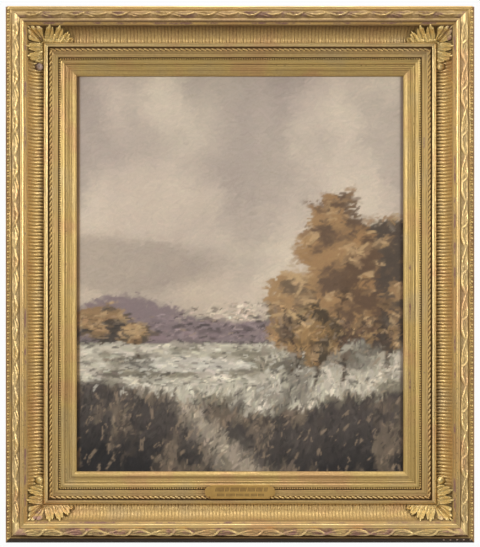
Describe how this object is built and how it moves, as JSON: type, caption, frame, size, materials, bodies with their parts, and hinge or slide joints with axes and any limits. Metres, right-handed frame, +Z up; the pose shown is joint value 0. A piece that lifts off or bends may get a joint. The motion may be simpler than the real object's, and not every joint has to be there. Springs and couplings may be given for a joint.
{
  "type": "framed oil painting",
  "caption": "Upright oil painting on canvas in a deep gilt frame with a fluted cove, leaf corners, leaf garland, rope and pearl mouldings, and a small brass plate; hangs flat on a wall.",
  "frame": {"origin": "on the frame's flat back, at the middle of the top rail, where it is fastened to the wall", "axes": "+Z up the wall, -Y out of the wall towards the viewer, +X to the viewer's right"},
  "size_m": [0.7228, 0.082, 0.8268],
  "materials": {
    "gilt_wood": "toned gold leaf over red bole on gesso, worn",
    "gilt_composition": "burnished gold leaf on cast composition",
    "painted_canvas": "oil paint on primed linen, varnished",
    "stretcher_pine": "bare aged pine",
    "plate_brass": "aged polished brass, engraved"
  },
  "bodies": {
    "root": {"rail_top": "gilt_wood", "rail_bottom": "gilt_wood", "rail_left": "gilt_wood", "rail_right": "gilt_wood", "liner_top": "gilt_wood", "liner_bottom": "gilt_wood", "liner_left": "gilt_wood", "liner_right": "gilt_wood", "corner_leaf_top_left": "gilt_composition", "corner_leaf_top_right": "gilt_composition", "corner_leaf_bottom_left": "gilt_composition", "corner_leaf_bottom_right": "gilt_composition", "canvas": "painted_canvas", "stretcher_top": "stretcher_pine", "stretcher_bottom": "stretcher_pine", "stretcher_left": "stretcher_pine", "stretcher_right": "stretcher_pine", "nameplate": "plate_brass"}
  },
  "joints": []
}
